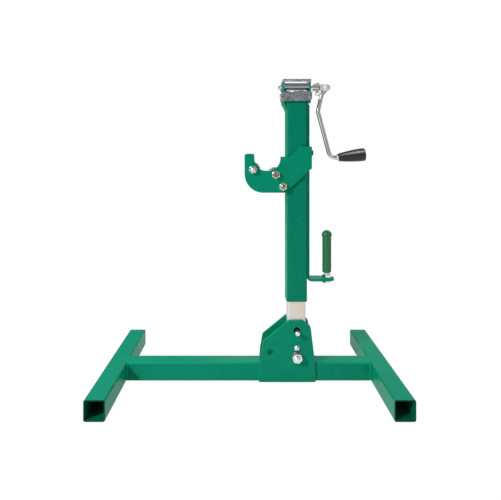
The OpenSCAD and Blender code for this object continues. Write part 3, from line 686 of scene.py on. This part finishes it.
grip_joint = joint("crank_grip_spin")
grip_start = Vector(grip_joint["pos_m"])
grip_way = Vector(grip_joint["axis"]).normalized()
grip_length = 74.5 * mm
grip_lip = 1.2 * mm
near_radius = 11 * mm
far_radius = 18 * mm
end_round = 4 * mm
end_rim = grip_length - 0.2 * mm
swell_steps = 24
round_steps = 8
grip_profile = [(near_radius - 1 * mm, 0.2 * mm), (near_radius - 0.3 * mm, 0.5 * mm)]
for i in range(swell_steps + 1):
    t = i / swell_steps
    swell = math.sin(0.5 * math.pi * t) ** 0.92
    grip_profile.append((near_radius + (far_radius - near_radius) * swell,
                         grip_lip + (end_rim - end_round - grip_lip) * t))
for i in range(1, round_steps + 1):
    a = 0.5 * math.pi * i / round_steps
    grip_profile.append((far_radius - end_round * (1 - math.cos(a)),
                         end_rim - end_round * (1 - math.sin(a))))
grip_profile += in_mm([(9, 74.5), (7.6, 74.3), (7, 73.4), (2, 73.2)])
handle = lathe("crank_handle", grip_profile, grip_start, grip_way, grip_black, "crank_grip", "grip_black",
               sides=64)
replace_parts(handle, "crank_grip")

ferrule = in_mm([(6, -5.2), (8.4, -5), (9.2, -4.2), (9.2, -1), (8.6, -0.2), (6, -0.1)])
lathe("grip_ferrule", ferrule, grip_start, grip_way, bright_zinc, "crank_arm", "crank_zinc")


# Hook: two plates cut from 6 mm steel, with an open mouth for the drum spindle.
# Three bolts hold them together, two of them through turned steel rollers and one through a
# spacer; the spacer and the cross bar on the other side bite on the mast under load.
def pin_wrench_end(name, x, z, seat, face, finish, body):
    """The end of a bolt that faces -Y, with six small holes in a ring for a pin wrench."""
    end_radius = 6.7 * mm
    bevel = 0.4 * mm
    hole_ring = 4.6 * mm
    hole_radius = 1.35 * mm
    hole_depth = 3 * mm
    hole_turn = math.pi / 3
    levels = [(end_radius, seat), (end_radius, face + bevel)]
    levels += [(end_radius - bevel - 0.3 * mm * i, face - 0.1 * mm) for i in range(21)]
    rings = []
    for r, y in levels:
        points = []
        for a in angles(72):
            nearest = round(a / hole_turn) * hole_turn
            away = math.hypot(r * math.cos(a) - hole_ring * math.cos(nearest),
                              r * math.sin(a) - hole_ring * math.sin(nearest))
            pit = hole_depth * max(0, 1 - (away / hole_radius) ** 4)
            points.append((x + r * math.cos(a), y + pit, z + r * math.sin(a)))
        rings.append(points)
    add_piece(name, *loft(rings), finish, body, "bright_zinc")


yellow_zinc = zinc_plate("yellow_zinc", (0.84, 0.84, 0.68), 0.2)
browned_steel = machined_steel("browned_steel", (0.32, 0.235, 0.19))
roller_steel = machined_steel("roller_steel", (0.4, 0.44, 0.48), (1, 14, 1))
soften(["front_hook", "rear_hook"], green_coat, edge_width=0.9 * mm)
soften(["hook_crossbar"], green_coat, edge_width=0.5 * mm)
soften(["hook_bolts"], bright_zinc, edge_width=0.35 * mm)
soften(["hook_spacer"], bright_zinc, edge_width=0.4 * mm)
soften(["outer_roller", "inner_roller"], roller_steel, edge_width=0.4 * mm)

nuts_low, nuts_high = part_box("hook_nuts")
bolts_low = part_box("hook_bolts")[0]
spacer_low, spacer_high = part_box("hook_spacer")
hook_flats = 19.2 * mm
hook_nut_height = nuts_high.y - nuts_low.y
wide_bore = 6.6 * mm
pin_end_lap = 4 * mm
hook_bolts = (
    ("outer", joint("outer_roller_spin")["pos_m"], 12, m12_bore, bright_zinc, bright_zinc),
    ("inner", joint("inner_roller_spin")["pos_m"], 30, wide_bore, yellow_zinc, browned_steel),
    ("heel", (spacer_low + spacer_high) / 2, 26, m12_bore, yellow_zinc, browned_steel),
)
for which, (x, _, z), turn, bore, nut_finish, end_finish in hook_bolts:
    nut = hex_nut((x, nuts_high.y, z), front, tilted(turn), hook_flats, hook_nut_height, bore)
    piece = add_piece(f"{which}_hook_nut", *nut, nut_finish, "hook", "bright_zinc", nut_edge)
    if which == "outer":
        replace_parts(piece, "hook_nuts")
    if which == "inner":
        pin_wrench_end("inner_hook_end", x, z, nuts_low.y + pin_end_lap, bolts_low.y, end_finish, "hook")
    else:
        thread_start = (x, nuts_low.y + thread_lap, z)
        thread_tip = (x, bolts_low.y - thread_proud, z)
        thread_end(f"{which}_hook_thread", thread_start, thread_tip, m12_thread, m12_pitch, end_finish,
                   "hook")


# Stage: a white studio floor that runs on into a white background, under two soft lamps.
# Panels that show only in reflections give the metal its dark and bright streaks, and a
# small lamp that shines on the crank's grip alone draws the sheen along it.
def stage_finish(name):
    finish = bpy.data.materials.new(name)
    finish.use_nodes = True
    finish.node_tree.nodes.clear()
    return finish, Tone(finish.node_tree)


def shown(tone):
    """1 for rays that show the stage itself: straight to the camera, or in gloss and glass."""
    rays = [tone.add("LightPath", out=f"Is {kind} Ray") for kind in ("Camera", "Glossy", "Transmission")]
    return (rays[0] + rays[1] + rays[2]).at_most(1)


def stage_plane(name, width, depth, place, turn, finish):
    half_w, half_d = width / 2, depth / 2
    corners = [(-half_w, -half_d, 0), (half_w, -half_d, 0), (half_w, half_d, 0), (-half_w, half_d, 0)]
    mesh = bpy.data.meshes.new(name)
    mesh.from_pydata(corners, [], [(0, 1, 2, 3)])
    mesh.materials.append(finish)
    plane = bpy.data.objects.new(name, mesh)
    plane.location = place
    plane.rotation_euler = turn
    bpy.context.scene.collection.objects.link(plane)
    return plane


def reflected_panel(name, width, depth, place, turn, level):
    """A panel that only shows in reflections."""
    finish, tone = stage_finish(name)
    glow = tone.add("Emission", sockets={"Color": (level, level, level, 1), "Strength": 1.0})
    tone.add("OutputMaterial", sockets={"Surface": glow})
    panel = stage_plane(name, width, depth, place, turn, finish)
    panel.visible_camera = False
    panel.visible_diffuse = False
    panel.visible_transmission = False
    panel.visible_shadow = False


def soft_lamp(name, place, target, width, height, watts):
    lamp = bpy.data.lights.new(name, "AREA")
    lamp.shape = "RECTANGLE"
    lamp.size = width
    lamp.size_y = height
    lamp.energy = watts
    holder = bpy.data.objects.new(name, lamp)
    holder.location = place
    holder.rotation_euler = (Vector(target) - Vector(place)).to_track_quat("-Z", "Y").to_euler()
    bpy.context.scene.collection.objects.link(holder)
    return holder


floor_white, tone = stage_finish("floor_white")
floor_grey = (0.86, 0.86, 0.86, 1)
fade_start = 0.8
near_share = 0.93
lit = tone.add("BsdfDiffuse", sockets={"Color": floor_grey})
glow = tone.add("Emission", sockets={"Color": (1, 1, 1, 1), "Strength": 1.03})
far = (tone.vector("LENGTH", tone.place(), out="Value") - fade_start).clamped()
glow_share = shown(tone) * (near_share + far * (1 - near_share))
surface = tone.add("MixShader", sockets={0: glow_share, 1: lit, 2: glow})
tone.add("OutputMaterial", sockets={"Surface": surface})
floor_side = 14
floor_z = -0.4 * mm
stage_plane("floor", floor_side, floor_side, (0, 0, floor_z), (0, 0, 0), floor_white)

quarter = math.radians(90)
upright = (quarter, 0, 0)
facing_left = (quarter, 0, quarter)
slanting = (quarter, 0, math.radians(-45))
reflected_panel("front_flag", 3.6, 3.5, (0.2, -3.0, 1.75), upright, level=0.3)
reflected_panel("ceiling_flag", 3.6, 6.2, (0.2, 0.1, 3.5), (0, 0, 0), level=0.2)
reflected_panel("rear_flag", 4.0, 1.5, (-2.3, 3.0, 0.8), upright, level=0.08)
reflected_panel("rear_right_flag", 1.2, 1.0, (1.3, 3.0, 1.4), upright, level=0.3)
reflected_panel("right_flag", 3.0, 2.6, (3.0, -0.9, 1.0), facing_left, level=0.22)
reflected_panel("strip_light", 0.9, 2.4, (-2.2, -2.2, 1.2), slanting, level=2.4)

world = bpy.data.worlds.new("studio")
bpy.context.scene.world = world
world.use_nodes = True
background = world.node_tree.nodes["Background"]
background.inputs["Color"].default_value = (1, 1, 1, 1)
fill_level = 0.28
backdrop_level = 1.01
feed(background, {"Strength": fill_level + shown(Tone(world.node_tree)) * (backdrop_level - fill_level)})

soft_lamp("key", (-2.1, -1.9, 2.0), (0.05, 0, 0.3), width=0.5, height=0.5, watts=66)
top_lamp = soft_lamp("top", (0.1, 0.4, 2.6), (0.05, 0, 0.2), width=2.0, height=1.6, watts=42)
top_lamp.visible_glossy = False
glint_lamp = soft_lamp("grip_glint", (0.36, -1.0, 2.3), (0.29, 0, 0.62), width=0.6, height=1.1, watts=36)
glint_lamp.data.diffuse_factor = 0
glossy_grips = bpy.data.collections.new("glossy_grips")
glossy_grips.objects.link(handle)
glint_lamp.light_linking.receiver_collection = glossy_grips


# Camera: level, at the height of the hook, with the lens and the shift that frame the photograph.
# The lens and the shift come from sizes in pixels, with the level line 160 pixels below the top.
picture_width, picture_height = 501, 500
focal_pixels = 475
centre_u, centre_v = 243, 160
lens = bpy.data.cameras.new("camera")
lens.sensor_width = 36
lens.lens = focal_pixels * lens.sensor_width / picture_width
lens.shift_x = (picture_width / 2 - centre_u) / picture_width
lens.shift_y = (centre_v - picture_height / 2) / picture_width
camera = bpy.data.objects.new("camera", lens)
camera.location = (-15.5 * mm, -1324.6 * mm, 605 * mm)
camera.rotation_euler = upright
bpy.context.scene.collection.objects.link(camera)
bpy.context.scene.camera = camera
bpy.context.scene.view_settings.view_transform = "Standard"
